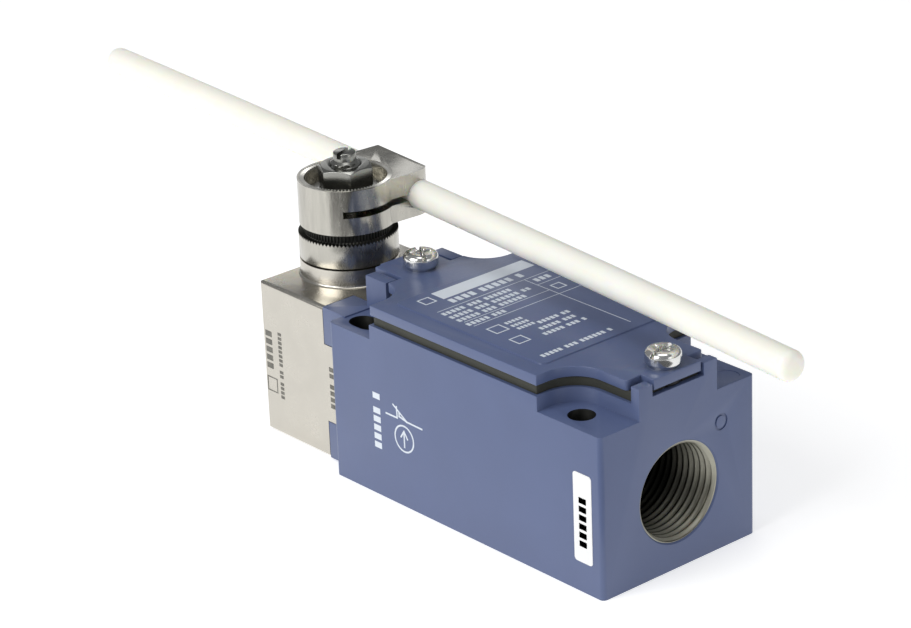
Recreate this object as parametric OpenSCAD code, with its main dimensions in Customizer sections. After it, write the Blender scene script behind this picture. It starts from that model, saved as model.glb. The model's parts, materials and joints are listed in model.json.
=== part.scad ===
// Metal-bodied limit switch with a rotary head and a long plastic rod lever.
// It lies on its mounting face: Z is up from that face towards the cover,
// Y runs towards the head and X is to the right when the head is at the top.
// The origin is the centre of the 30 x 60 mm fixing pattern, on the mounting face.

/* [Fixing pattern] */
// Distance between the two columns of fixing holes
hole_pitch_x = 30; // [29.8:0.1:30.2]
// Distance between the two rows of fixing holes
hole_pitch_y = 60; // [59.8:0.1:60.2]
// Diameter of the fixing holes and width of the slots
fixing_hole_d = 5.3; // [5.0:0.1:5.4]
// How far a screw can slide along a slot, outwards from its nominal place
slot_travel = 2.4; // [2.0:0.1:2.6]

/* [Body] */
// Width of the body
body_w = 39.6; // [39.4:0.1:40.4]
// Length of the body from the pattern centre to the cable end
body_low = 39.9; // [39.5:0.1:40.5]
// Length of the body from the pattern centre to the head
body_high = 37; // [36.8:0.1:37.2]
// Height of the four fixing shelves
shelf_z = 32.9; // [32.5:0.1:33.2]
// Height of the rim that the cover gasket lies on
rim_z = 35.9; // [35.6:0.1:36.2]
// Width of the narrow neck at both ends of the deck
neck_w = 19.9; // [19.5:0.1:20.2]
// Distance from the pattern centre to the shelves of the cable end
shelf_low = 23.2; // [22.8:0.1:23.6]
// Distance from the pattern centre to the shelves of the head end
shelf_high = 24.5; // [24.2:0.1:24.9]
// Radius of the concave corners between the deck and its necks
shelf_r = 6.5; // [6:0.1:6.6]
// Thickness of the side walls
wall_t = 3; // [2.6:0.1:3.2]
// Thickness of the floor
floor_t = 3.2; // [3:0.1:3.5]

/* [Cable entry] */
// Inner diameter of the M20 x 1.5 thread
entry_d = 18.4; // [18.2:0.1:18.6]
// Diameter of the countersink at the mouth
entry_mouth_d = 20.6; // [20.2:0.1:21]
// Height of the entry axis
entry_z = 15.4; // [15:0.1:15.8]

/* [Cover] */
// Thickness of the cover gasket
gasket_t = 2; // [1.6:0.1:2.2]
// Thickness of the cover plate
cover_t = 2.1; // [1.9:0.1:2.4]
// Height of the raised panel on the cover
panel_t = 0.3; // [0.2:0.1:0.4]
// Distance from the pattern centre to the cover screw of the cable end
cover_screw_low = 36; // [35.7:0.1:36.1]
// Distance from the pattern centre to the cover screw of the head end
cover_screw_high = 31.8; // [31.6:0.1:32.2]

/* [Head] */
// Side of the square head
head_w = 32.8; // [32.5:0.1:33]
// Length of the head
head_len = 26.3; // [26:0.1:26.6]
// Distance from the pattern centre to the shaft axis
shaft_y = 54.15; // [54.1:0.05:54.3]
// Radius of the round boss on the head
boss_r = 10.1; // [9.8:0.1:10.3]
// Height of the top of the boss
boss_z = 36.8; // [36.6:0.1:36.9]
// Depth of the corner lugs that reach from the body into the head
lug_len = 6; // [5.6:0.1:6.2]

/* [Lever] */
// Radius of the clamp hub
hub_r = 9.8; // [9.7:0.1:10]
// Radius of the serrated collar below the hub
collar_r = 10.1; // [10:0.1:10.3]
// Number of serrations on the collar and on the hub
serrations = 80; // [60:2:90]
// Serrations by which the hub is turned from its straight position
index_steps = 1; // [0:1:2]
// Height of the bottom of the clamp hub
hub_z = 44.2; // [44.1:0.1:44.4]
// Height of the clamp hub
hub_h = 9.4; // [9.2:0.1:9.6]
// Distance from the shaft axis to the rod axis
rod_offset = 12.3; // [12.2:0.1:12.4]
// Height of the rod axis
rod_z = 48.6; // [48.5:0.1:48.8]
// Diameter of the lever rod
rod_d = 6; // [5.9:0.1:6]
// Length of the rod towards the cable end, from the shaft axis
rod_low = 119.8; // [60:0.1:140]
// Length of the rod the other way, from the shaft axis
rod_high = 108.6; // [20:0.1:120]

/* [Mechanism] */
// Radius of the shaft in its bushings
shaft_r = 4; // [3.9:0.1:4]
// Running clearance of the shaft and of the plunger, on the radius
run_gap = 0.05; // [0.03:0.01:0.08]
// Radius of the cam lobes
cam_r = 7.3; // [7:0.1:7.4]
// Distance from the shaft axis to the flat of the cam
cam_flat = 4.6; // [4.5:0.1:5]
// Height of the axis of the plunger and of the contact block
axis_z = 16.7; // [16.6:0.1:16.8]
// Radius of the plunger stem
stem_r = 3; // [2.8:0.1:3]
// Travel of the plunger
travel = 2.7; // [2.2:0.1:2.8]

/* [Hidden] */
$fn = 72;
eps = 0.02;
gasket_z = rim_z;
cover_z = rim_z + gasket_t;
cover_top = cover_z + cover_t;
edge_r = 1;
cavity_x = body_w / 2 - wall_t;
cavity_low = -shelf_low + wall_t;
cavity_high = shelf_high - wall_t;
hole_x = hole_pitch_x / 2;
hole_y = hole_pitch_y / 2;

// Posts that stand beside the cover at both ends
post_in = 6.6;
post_low_len = 2.1;
post_low_top = 39.35;
post_high_in = 7.2;
post_high_len = 6.1;
post_high_top = 39.75;
sill_z = 36.9;
sill_t = 1.2;

// Cover screws
screw_r = 2;
screw_head_r = 3.5;
screw_head_h = 2.6;
screw_neck_r = 2.9;
screw_neck_h = 0.7;
screw_low_z = 27.6;
retainer_r = 3.2;
retainer_h = 1;

// Head
head_z = 0.4;
head_top = head_z + head_w;
head_y = body_high;
head_end = head_y + head_len;
head_r = 0.9;
boss_fillet = 0.5;
lug_in = 8.4;
lug_h = 7.9;
lug_x = (lug_in + head_w / 2) / 2;
lug_gap = 0.15;
lug_z_low = head_z + lug_h / 2;
lug_z_high = head_top - lug_h / 2;
chamber_r = 7.8;
chamber_low = 8.5;
chamber_high = 24.9;
seal_t = 1.6;
seal_r = 8.8;
head_screw_end = head_y - 1;
head_screw_sink = 3;
head_screw_head_r = 3.4;
bush_low_z = 3.4;
bush_r = 6;

// Shaft and lever
shaft_foot = 3.6;
clip_z = 23.4;
clip_groove = 1;
clip_groove_r = 3.2;
clip_r = 6.3;
collar_z = boss_z + 0.35;
collar_top = 42.4;
lever_turn = -index_steps * 360 / serrations;
ring_r = 9;
cup_r = 8.4;
cup_z = 50;
stud_r = 3;
stud_top = 57;
stud_tip_r = 2.3;
stud_end = 58.7;
rod_round = 1.4;
slit_t = 1.4;
slit_low_x = -6.2;
block_x = 15.7;
block_edge = 1.1;
block_low = -8.3;
block_high = 9.7;
block_r = 4;
washer_t = 1.2;
nut_h = 4.8;
nut_af = 10;
nut_turn = 6;
flat_half = 3.2;

// Plunger and its guide
disc_t = 1.8;
disc_r = 5.9;
disc_y = shaft_y - cam_r - 0.2;
guide_y = head_y + 6.2;
guide_foot = 31;
guide_floor_t = 2;
pocket_r = 6.3;
guide_r = 7.3;
flange_r = 8.4;
flange_y = head_y - 1.5;
stem_end = 23.9;
spring_wire = 1;
spring_r = 4.7;

// Contact block
block_w = 30;
base_low = -13;
base_high = 20.6;
base_top = 20;
well_x = 8.2;
well_low = -11;
well_high = 17.4;
well_z = 7;
lid_x = 8.7;
lid_h = 5.4;
rib_t = 1.4;
rib_h = 3;
button_r = 2.4;
button_end = 23.6;
carrier_x = 2.2;
carrier_z = 10.7;
carrier_h = 8;
carrier_low = -4.6;
carrier_high = 16.9;
bridge_t = 0.6;
bridge_x = 6.9;
bridge_z = 12.4;
bridge_h = 4;
bridge_closed_y = 9.6;
bridge_open_y = 0;
window_len = 2.4;
tip_x = 5.9;
tip_r = 1.4;
tip_t = 0.4;
leg_t = 0.8;
leg_in = 4.8;
leg_out = 7.4;
plate_t = 0.8;
terminal_x = 11.9;
terminal_y = [11.5, -4.5];
clamp_size = 6;
clamp_t = 1.2;
block_screw_x = 12.6;
block_screw_y = 3.5;

// Earth terminal in the wiring space
earth_x = 12.2;
earth_y = -16.4;
earth_z = 7;
earth_r = 3.2;
earth_clamp_size = 6.6;

// ---- shared shapes ----

// Rectangle with round corners, symmetric in X, from y0 to y1
module rounded_plan(w, y0, y1, r) {
    translate([-w / 2, y0 + r]) square([w, y1 - y0 - 2 * r]);
    translate([-w / 2 + r, y0]) square([w - 2 * r, y1 - y0]);
    for (sx = [-1, 1], y = [y0 + r, y1 - r])
        translate([sx * (w / 2 - r), y]) circle(r = r);
}

// Fill of one concave corner of the deck, with its arc
module corner_fill(a, b, r, sx, sy) {
    difference() {
        translate([sx > 0 ? a - eps : -a - r, sy > 0 ? b - eps : -b - r]) square(r + eps);
        translate([sx * (a + r), sy * (b + r)]) circle(r = r);
    }
}

// Outline of the deck: wide in the middle, with a neck at each end
module deck_plan(inset) {
    neck = neck_w / 2 - inset;
    low = shelf_low - inset;
    high = shelf_high - inset;
    translate([-body_w / 2 + inset, -low]) square([body_w - 2 * inset, low + high]);
    translate([-neck, -body_low + inset]) square([2 * neck, body_low + body_high - 2 * inset]);
    for (sx = [-1, 1]) {
        corner_fill(neck, low, shelf_r + inset, sx, -1);
        corner_fill(neck, high, shelf_r + inset, sx, 1);
    }
}

// Cylinder along Y from y0 to y1
module bar_y(r, y0, y1) {
    translate([0, y0, 0]) rotate([-90, 0, 0]) cylinder(r = r, h = y1 - y0);
}

// Box from one corner to the other
module box(p, q) {
    translate(p) cube([q[0] - p[0], q[1] - p[1], q[2] - p[2]]);
}

// Closed coil of rings joined by a thin bar, along Z from 0 to len
module ring_spring(r, wire, len, rings) {
    pitch = (len - wire) / (rings - 1);
    for (k = [0 : rings - 1])
        translate([0, 0, wire / 2 + k * pitch]) rotate_extrude() translate([r, 0]) circle(d = wire, $fn = 16);
    translate([r - wire * 0.3, -wire * 0.2, wire / 2]) cube([wire * 0.6, wire * 0.4, len - wire]);
}

// Pan-head screw with a cross slot, its head from z = 0 up and its shank down
module pan_screw(shank_r, head_r, head_h, len) {
    difference() {
        rotate_extrude() polygon([[0, -len], [shank_r, -len], [shank_r, 0], [head_r, 0],
            [head_r, head_h * 0.55], [head_r * 0.8, head_h * 0.9], [head_r * 0.5, head_h], [0, head_h]]);
        for (a = [45, 135])
            rotate([0, 0, a]) translate([-head_r * 0.6, -head_r * 0.11, head_h * 0.45])
                cube([head_r * 1.2, head_r * 0.22, head_h]);
    }
}

// Places of the two cover screws and of the four head screws
module at_cover_screws() {
    for (y = [-cover_screw_low, cover_screw_high]) translate([0, y, 0]) children();
}
module at_head_screws() {
    for (sx = [-1, 1], z = [lug_z_low, lug_z_high]) translate([sx * lug_x, 0, z]) children();
}

// Places of the four terminals: side, then row
module at_terminals() {
    for (sx = [-1, 1], y = terminal_y) translate([sx * terminal_x, y, 0]) children();
}

// ---- body ----

module housing() {
    color([0.27, 0.33, 0.52]) difference() {
        union() {
            housing_shell();
            translate([earth_x, earth_y, floor_t - eps]) cylinder(r = earth_r, h = earth_z - floor_t + eps);
        }
        housing_holes();
    }
}

// Solid body with its deck, posts and head lugs, and the cavity under the cover
module housing_shell() {
    difference() {
        union() {
            linear_extrude(shelf_z) rounded_plan(body_w, -body_low, body_high, edge_r);
            linear_extrude(rim_z) deck_plan(0);
            for (sx = [-1, 1]) {
                housing_posts(sx);
                for (z = [head_z, head_top - lug_h])
                    box([sx > 0 ? lug_in : -head_w / 2, head_y - 1, z],
                        [sx > 0 ? head_w / 2 : -lug_in, head_y + lug_len, z + lug_h]);
            }
            box([-post_in, -body_low, rim_z - eps], [post_in, -body_low + sill_t, sill_z]);
        }
        box([-cavity_x, cavity_low, floor_t], [cavity_x, cavity_high, rim_z + 1]);
    }
}

// Posts beside the cover, at both ends of one side
module housing_posts(sx) {
    neck = neck_w / 2;
    box([sx > 0 ? post_in : -neck, -body_low, rim_z - 1],
        [sx > 0 ? neck : -post_in, -body_low + post_low_len, post_low_top]);
    box([sx > 0 ? post_high_in : -neck, body_high - post_high_len, rim_z - 1],
        [sx > 0 ? neck : -post_high_in, body_high, post_high_top]);
}

module housing_holes() {
    for (sx = [-1, 1]) {
        translate([sx * hole_x, -hole_y, -1]) cylinder(d = fixing_hole_d, h = shelf_z + 2);
        translate([sx * hole_x, hole_y, -1]) linear_extrude(shelf_z + 2) {
            circle(d = fixing_hole_d);
            translate([0, slot_travel]) circle(d = fixing_hole_d);
            translate([-fixing_hole_d / 2, 0]) square([fixing_hole_d, slot_travel]);
        }
        translate([sx * block_screw_x, block_screw_y, 0.8]) cylinder(r = 1.5, h = floor_t);
    }
    translate([earth_x, earth_y, 1.2]) cylinder(r = 2, h = 9);
    translate([0, 0, entry_z]) {
        bar_y(entry_d / 2, -body_low - 1, cavity_low + 1);
        translate([0, -body_low, 0]) rotate([-90, 0, 0])
            rotate_extrude() polygon([[0, -1], [entry_mouth_d / 2, -1], [entry_mouth_d / 2, 0],
                [entry_d / 2 - 0.01, (entry_mouth_d - entry_d) / 2], [0, (entry_mouth_d - entry_d) / 2]]);
    }
    translate([0, 0, axis_z]) {
        bar_y(guide_r + 0.1, cavity_high - 1, body_high + 1);
        bar_y(flange_r + 0.1, flange_y, body_high + 1);
    }
    at_head_screws() bar_y(2, head_screw_end - 0.3, body_high + lug_len + 1);
    translate([0, -cover_screw_low, screw_low_z - 0.4]) cylinder(r = screw_r, h = 12);
    translate([0, cover_screw_high, screw_low_z - 0.4]) cylinder(r = screw_r, h = 12);
}

// ---- cover ----

// Outline of the cover: the deck's, cut back around the posts, with a tongue over the head
module cover_plan() {
    difference() {
        union() {
            deck_plan(0.2);
            translate([-6.3, body_high - 1]) square([12.6, 2.4]);
            translate([-4.6, body_high - 1]) square([9.2, 2.9]);
        }
        for (sx = [-1, 1]) {
            polygon([[sx * 12, -36.6], [sx * 10, -36.6], [sx * 5.9, -36.2], [sx * 6.25, -45], [sx * 12, -45]]);
            translate([sx > 0 ? 6.3 : -12, body_high - post_high_len - 0.6]) square([5.7, 20]);
        }
    }
}

module cover() {
    color([0.27, 0.33, 0.52]) difference() {
        union() {
            translate([0, 0, cover_z]) linear_extrude(cover_t) cover_plan();
            translate([0, 0, cover_top - eps]) linear_extrude(panel_t + eps)
                rounded_plan(31.6, -20.6, 21.2, 1.2);
        }
        at_cover_screws() translate([0, 0, cover_z - 1]) cylinder(r = screw_r + 0.3, h = cover_t + 2);
    }
}

module cover_gasket() {
    color([0.16, 0.17, 0.13]) translate([0, 0, gasket_z]) linear_extrude(gasket_t) difference() {
        deck_plan(0.7);
        translate([-cavity_x, cavity_low]) square([2 * cavity_x, cavity_high - cavity_low]);
        for (sx = [-1, 1]) {
            translate([sx > 0 ? 6.3 : -12, -45]) square([5.7, 45 - body_low + post_low_len + 0.1]);
            translate([sx > 0 ? 6.3 : -12, body_high - post_high_len - 0.4]) square([5.7, 20]);
        }
        translate([-10, -45]) square([20, 45 - body_low + sill_t + 0.1]);
        for (y = [-cover_screw_low, cover_screw_high]) translate([0, y]) circle(r = retainer_r + 0.1);
    }
}

module cover_screws() {
    under_head = cover_top + screw_neck_h;
    color([0.8, 0.8, 0.78]) at_cover_screws() {
        translate([0, 0, under_head])
            pan_screw(screw_r - 0.02, screw_head_r, screw_head_h, under_head - screw_low_z);
        translate([0, 0, cover_top]) cylinder(r = screw_neck_r, h = screw_neck_h + eps);
    }
}

// Rings under the cover that keep the loosened screws in it
module screw_retainers() {
    color([0.1, 0.1, 0.1]) at_cover_screws() translate([0, 0, cover_z - retainer_h]) difference() {
        cylinder(r = retainer_r, h = retainer_h);
        translate([0, 0, -1]) cylinder(r = screw_r, h = 3);
    }
}

// ---- head ----

module head() {
    color([0.76, 0.74, 0.69]) difference() {
        union() {
            head_block();
            translate([0, shaft_y, head_top - eps]) cylinder(r = boss_r, h = boss_z - head_top + eps);
            translate([0, shaft_y, head_top - eps]) rotate_extrude() difference() {
                square([boss_r + boss_fillet, boss_fillet + eps]);
                translate([boss_r + boss_fillet, boss_fillet + eps]) circle(r = boss_fillet);
            }
        }
        for (sx = [-1, 1], z = [head_z - 1, head_top - lug_h - lug_gap])
            box([sx > 0 ? lug_in - lug_gap : -head_w, head_y - 1, z],
                [sx > 0 ? head_w : -lug_in + lug_gap, head_y + lug_len + lug_gap, z + lug_h + 1 + lug_gap]);
        translate([0, shaft_y, chamber_low]) cylinder(r = chamber_r, h = chamber_high - chamber_low);
        translate([0, 0, axis_z]) bar_y(guide_r + 0.1, head_y - 1, shaft_y);
        translate([0, shaft_y, bush_low_z]) cylinder(r = bush_r, h = boss_z - seal_t - bush_low_z);
        translate([0, shaft_y, boss_z - seal_t]) cylinder(r = seal_r, h = 3);
        at_head_screws() bar_y(2.2, head_y, head_end + 1);
        at_head_screws() bar_y(head_screw_head_r + 0.2, head_end - head_screw_sink, head_end + 1);
        translate([0, 0, axis_z]) difference() {
            bar_y(10.7, head_y - 1, head_y + 0.8);
            bar_y(8.9, head_y - 2, head_y + 2);
        }
    }
}

// Square block with all its edges rounded
module head_block() {
    intersection() {
        translate([0, 0, head_z]) linear_extrude(head_w) rounded_plan(head_w, head_y, head_end, head_r);
        translate([0, head_end, 0]) rotate([90, 0, 0]) linear_extrude(head_len)
            rounded_plan(head_w, head_z, head_top, head_r);
        translate([-head_w / 2, 0, 0]) rotate([90, 0, 90]) linear_extrude(head_w)
            translate([(head_y + head_end) / 2, 0]) rounded_plan(head_len, head_z, head_top, head_r);
    }
}

module head_gasket() {
    color([0.12, 0.12, 0.12]) translate([0, 0, axis_z]) difference() {
        bar_y(10.6, head_y, head_y + 0.8);
        bar_y(9, head_y - 1, head_y + 2);
    }
}

module head_screws() {
    color([0.7, 0.7, 0.68]) at_head_screws()
        translate([0, head_end - head_screw_sink, 0]) rotate([-90, 0, 0])
            pan_screw(1.98, head_screw_head_r, 2.4, head_end - head_screw_sink - head_screw_end);
}

module upper_bushing() {
    color([0.66, 0.5, 0.3]) translate([0, shaft_y, chamber_high]) difference() {
        cylinder(r = bush_r, h = 10.2);
        translate([0, 0, -1]) cylinder(r = shaft_r + run_gap, h = 13);
    }
}

module lower_bushing() {
    color([0.66, 0.5, 0.3]) translate([0, shaft_y, bush_low_z]) difference() {
        cylinder(r = bush_r, h = chamber_low - bush_low_z);
        translate([0, 0, -1]) cylinder(r = shaft_r + run_gap, h = 10);
    }
}

module shaft_seal() {
    color([0.08, 0.08, 0.08]) translate([0, shaft_y, boss_z - seal_t]) difference() {
        cylinder(r = seal_r, h = seal_t + 0.2);
        translate([0, 0, -1]) cylinder(r = shaft_r + run_gap, h = 4);
    }
}

// ---- shaft and lever ----

// Cross-section of the keyed part of the shaft: a circle with two flats
module keyed_plan(gap) {
    intersection() {
        circle(r = shaft_r + gap);
        square([2 * (flat_half + gap), 20], center = true);
    }
}

module shaft() {
    color([0.6, 0.6, 0.58]) translate([0, shaft_y, 0]) difference() {
        union() {
            translate([0, 0, shaft_foot]) cylinder(r = shaft_r, h = chamber_low + 1 + eps - shaft_foot);
            translate([0, 0, chamber_low + 1]) linear_extrude(clip_z - chamber_low - 1 + eps) keyed_plan(0);
            translate([0, 0, clip_z]) cylinder(r = clip_groove_r, h = clip_groove);
            translate([0, 0, clip_z + clip_groove]) cylinder(r = shaft_r, h = collar_z - clip_z - clip_groove);
            translate([0, 0, collar_z - eps]) linear_extrude(collar_top - collar_z + eps) keyed_plan(0);
            translate([0, 0, collar_top - 1]) cylinder(r = stud_r, h = stud_top - collar_top + 1);
            translate([0, 0, stud_top - eps]) cylinder(r1 = stud_r, r2 = stud_tip_r, h = stud_r - stud_tip_r);
            translate([0, 0, stud_top - eps]) cylinder(r = stud_tip_r, h = stud_end - stud_top + eps);
        }
        translate([-stud_r, -0.5, stud_end - 1.2]) cube([2 * stud_r, 1, 3]);
    }
}

module shaft_clip() {
    color([0.4, 0.4, 0.4]) translate([0, shaft_y, clip_z + clip_groove * 0.1]) difference() {
        cylinder(r = clip_r, h = clip_groove * 0.8);
        translate([0, 0, -1]) cylinder(r = clip_groove_r, h = 3);
        translate([-2.6, 0, -1]) cube([5.2, 8, 3]);
    }
}

module cam() {
    color([0.55, 0.55, 0.53]) translate([0, shaft_y, chamber_low + 1.6]) linear_extrude(13)
        difference() {
            intersection() {
                circle(r = cam_r);
                translate([-10, -cam_flat]) square([20, 20]);
            }
            keyed_plan(0);
        }
}

module serrated_collar() {
    color([0.62, 0.61, 0.56]) translate([0, shaft_y, collar_z]) difference() {
        cylinder(r = collar_r, h = collar_top - collar_z);
        translate([0, 0, -1]) linear_extrude(9) keyed_plan(0);
    }
}

// Frame of the lever: at the shaft axis, turned to its serration
module in_lever_frame() {
    translate([0, shaft_y, 0]) rotate([0, 0, lever_turn]) children();
}

// Outline of the block that grips the rod
module block_plan() {
    translate([0, block_low]) square([block_x - block_r, block_high - block_low]);
    translate([0, block_low + block_r]) square([block_x, block_high - block_low - block_r]);
    translate([block_x - block_r, block_low + block_r]) circle(r = block_r);
}

// Block whose two long outer edges are rounded
module rod_block() {
    hub_top = hub_z + hub_h;
    in_x = block_x - block_edge;
    intersection() {
        translate([0, 0, hub_z]) linear_extrude(hub_h) block_plan();
        union() {
            box([-1, -15, hub_z - 1], [in_x, 15, hub_top + 1]);
            box([-1, -15, hub_z + block_edge], [block_x + 1, 15, hub_top - block_edge]);
            for (z = [hub_z + block_edge, hub_top - block_edge])
                translate([in_x, 0, z]) bar_y(block_edge, -15, 15);
        }
    }
}

module lever_hub() {
    color([0.66, 0.65, 0.6]) in_lever_frame() difference() {
        union() {
            translate([0, 0, hub_z]) cylinder(r = hub_r, h = hub_h);
            rod_block();
            translate([0, 0, collar_top]) cylinder(r = ring_r, h = hub_z - collar_top + eps);
        }
        translate([0, 0, cup_z]) cylinder(r = cup_r, h = 10);
        translate([0, 0, collar_top - 1]) cylinder(r = stud_r + 0.1, h = 20);
        translate([rod_offset, 0, rod_z]) bar_y(rod_d / 2, -20, 20);
        box([slit_low_x, -20, rod_z - slit_t / 2], [20, 20, rod_z + slit_t / 2]);
    }
}

module lever_rod() {
    color([0.93, 0.9, 0.84]) in_lever_frame() translate([rod_offset, 0, rod_z])
        translate([0, -rod_low, 0]) rotate([-90, 0, 0]) rod_profile(rod_low + rod_high, rod_d / 2, rod_round);
}

// Round bar along Z with rounded ends of radius e
module rod_profile(len, r, e) {
    rotate_extrude() union() {
        translate([0, e]) square([r, len - 2 * e]);
        square([r - e, len]);
        for (z = [e, len - e]) translate([r - e, z]) circle(r = e, $fn = 32);
    }
}

module clamp_washer() {
    color([0.55, 0.55, 0.53]) translate([0, shaft_y, cup_z]) difference() {
        cylinder(r = 6.6, h = washer_t);
        translate([0, 0, -1]) cylinder(r = stud_r + 0.2, h = 5);
    }
}

module clamp_nut() {
    color([0.4, 0.41, 0.38]) translate([0, shaft_y, cup_z + washer_t]) difference() {
        rotate([0, 0, lever_turn + nut_turn]) cylinder(d = nut_af / cos(30), h = nut_h, $fn = 6);
        translate([0, 0, -1]) cylinder(r = stud_r, h = 8);
    }
}

// ---- plunger ----

module plunger() {
    color([0.85, 0.84, 0.8]) translate([0, 0, axis_z]) {
        bar_y(disc_r, disc_y - disc_t, disc_y);
        bar_y(stem_r, stem_end, disc_y - disc_t + eps);
    }
}

module plunger_spring() {
    spring_foot = guide_foot + guide_floor_t;
    color([0.7, 0.7, 0.7]) translate([0, spring_foot, axis_z]) rotate([-90, 0, 0])
        ring_spring(spring_r, spring_wire, disc_y - disc_t - spring_foot, 6);
}

module plunger_guide() {
    color([0.2, 0.2, 0.2]) difference() {
        translate([0, 0, axis_z]) {
            bar_y(guide_r, guide_foot, guide_y);
            bar_y(flange_r, flange_y, head_y);
        }
        translate([0, 0, axis_z]) {
            bar_y(pocket_r, guide_foot + guide_floor_t, guide_y + 1);
            bar_y(stem_r + run_gap, guide_foot - 1, guide_y + 1);
        }
    }
}

// ---- contact block ----

module contact_base() {
    color([0.13, 0.13, 0.14]) difference() {
        union() {
            box([-block_w / 2, base_low, floor_t], [block_w / 2, base_high, base_top]);
            for (sx = [-1, 1], y = [base_low, base_high - rib_t])
                box([sx > 0 ? lid_x + 0.2 : -block_w / 2, y, base_top - eps],
                    [sx > 0 ? block_w / 2 : -lid_x - 0.2, y + rib_t, base_top + rib_h]);
        }
        box([-well_x, well_low, well_z], [well_x, well_high, base_top + 1]);
        translate([0, 0, axis_z]) bar_y(button_r + 0.2, well_high - 1, base_high + 1);
        at_terminals() translate([0, 0, 11.6]) cylinder(r = 1.75, h = 12);
        for (sx = [-1, 1]) translate([sx * block_screw_x, block_screw_y, 0]) cylinder(r = 1.6, h = 30);
    }
}

// Shallow cap over the contacts, notched for the four terminal plates
module contact_lid() {
    color([0.5, 0.5, 0.48]) difference() {
        box([-lid_x, base_low + 1, base_top], [lid_x, base_high - 1.4, base_top + lid_h]);
        box([-lid_x + 1, base_low + 2, base_top - 1], [lid_x - 1, base_high - 2.4, base_top + lid_h - 1.2]);
        for (y = terminal_y) box([-lid_x - 1, y - 4.2, base_top - 1], [lid_x + 1, y + 4.2, base_top + 1]);
    }
}

module contact_carrier() {
    color([0.75, 0.2, 0.15]) difference() {
        union() {
            box([-carrier_x, carrier_low, carrier_z], [carrier_x, carrier_high, carrier_z + carrier_h]);
            translate([0, 0, axis_z]) bar_y(button_r, carrier_high - eps, button_end);
        }
        box([-5, bridge_closed_y - bridge_t / 2 - window_len, bridge_z],
            [5, bridge_closed_y + bridge_t / 2, bridge_z + bridge_h]);
        box([-5, bridge_open_y - bridge_t / 2, bridge_z],
            [5, bridge_open_y + bridge_t / 2 + window_len, bridge_z + bridge_h]);
    }
}

// Contact rivet that stands on y0 and points to +Y or -Y
module rivet(y0, dir) {
    for (sx = [-1, 1]) translate([sx * tip_x, 0, bridge_z + bridge_h / 2])
        bar_y(tip_r, dir > 0 ? y0 - eps : y0 - tip_t, dir > 0 ? y0 + tip_t : y0 + eps);
}

module moving_contacts() {
    color([0.78, 0.55, 0.35]) for (k = [0, 1]) {
        y = k == 0 ? bridge_closed_y : bridge_open_y;
        dir = k == 0 ? 1 : -1;
        box([-bridge_x, y - bridge_t / 2, bridge_z], [bridge_x, y + bridge_t / 2, bridge_z + bridge_h]);
        rivet(y + dir * bridge_t / 2, dir);
    }
}

module contact_springs() {
    color([0.7, 0.7, 0.7]) {
        translate([0, bridge_closed_y - bridge_t / 2 - window_len, bridge_z + bridge_h / 2])
            rotate([-90, 0, 0]) ring_spring(1.3, 0.4, window_len, 4);
        translate([0, bridge_open_y + bridge_t / 2, bridge_z + bridge_h / 2])
            rotate([-90, 0, 0]) ring_spring(1.3, 0.4, window_len, 4);
    }
}

module carrier_spring() {
    color([0.7, 0.7, 0.7]) translate([0, well_low, bridge_z + bridge_h / 2])
        rotate([-90, 0, 0]) ring_spring(2.6, 0.6, carrier_low - well_low, 4);
}

// Pair of fixed contacts with legs at y_leg, seen by the moving contact from side dir,
// and terminal plates at y_end
module fixed_pair(y_leg, dir, y_end) {
    color([0.8, 0.65, 0.3]) {
        for (sx = [-1, 1]) {
            box([sx > 0 ? leg_in : -leg_out, y_leg, bridge_z],
                [sx > 0 ? leg_out : -leg_in, y_leg + leg_t, base_top + plate_t]);
            box([sx > 0 ? leg_in : -block_w / 2 + 0.4, min(y_leg, y_end - 3.2), base_top],
                [sx > 0 ? block_w / 2 - 0.4 : -leg_in, max(y_leg + leg_t, y_end + 3.2), base_top + plate_t]);
        }
        rivet(dir > 0 ? y_leg + leg_t : y_leg, dir);
    }
}

module terminal_holes() {
    at_terminals() translate([0, 0, base_top - 1]) cylinder(r = 1.9, h = 4);
}

module fixed_contacts_closed() {
    difference() {
        fixed_pair(bridge_closed_y + bridge_t / 2 + 2 * tip_t + 0.05, -1, terminal_y[0]);
        terminal_holes();
    }
}

module fixed_contacts_open() {
    difference() {
        fixed_pair(bridge_open_y - bridge_t / 2 - 2 * tip_t - travel - 0.05 - leg_t, 1, terminal_y[1]);
        terminal_holes();
    }
}

module terminal_screws() {
    color([0.8, 0.8, 0.78]) at_terminals() translate([0, 0, base_top + plate_t + clamp_t])
        pan_screw(1.73, 3.1, 2.2, 9.4);
}

module terminal_clamps() {
    color([0.72, 0.72, 0.7]) at_terminals() translate([0, 0, base_top + plate_t]) difference() {
        translate([-clamp_size / 2, -clamp_size / 2, 0]) cube([clamp_size, clamp_size, clamp_t]);
        translate([0, 0, -1]) cylinder(r = 1.9, h = 4);
    }
}

module block_screws() {
    color([0.7, 0.7, 0.68]) for (sx = [-1, 1])
        translate([sx * block_screw_x, block_screw_y, base_top]) pan_screw(1.48, 2.4, 2, base_top - 1);
}

module earth_screw() {
    color([0.75, 0.72, 0.5]) translate([earth_x, earth_y, earth_z + clamp_t])
        pan_screw(1.98, 3.4, 2.2, 6.4);
}

module earth_clamp() {
    color([0.75, 0.72, 0.5]) translate([earth_x, earth_y, earth_z]) difference() {
        translate([-earth_clamp_size / 2, -earth_clamp_size / 2, 0])
            cube([earth_clamp_size, earth_clamp_size, clamp_t]);
        translate([0, 0, -1]) cylinder(r = 2.1, h = 4);
    }
}

// Blank white label on the left side, near the cable end
module side_label() {
    label_w = 4.8;
    label_y = -34.9;
    label_z = [6.2, 24.3];
    label_t = 0.1;
    color("white") translate([-body_w / 2 - label_t, label_y, 0]) rotate([90, 0, 90]) linear_extrude(label_t)
        rounded_plan(label_w, label_z[0], label_z[1], 0.7);
}

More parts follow.
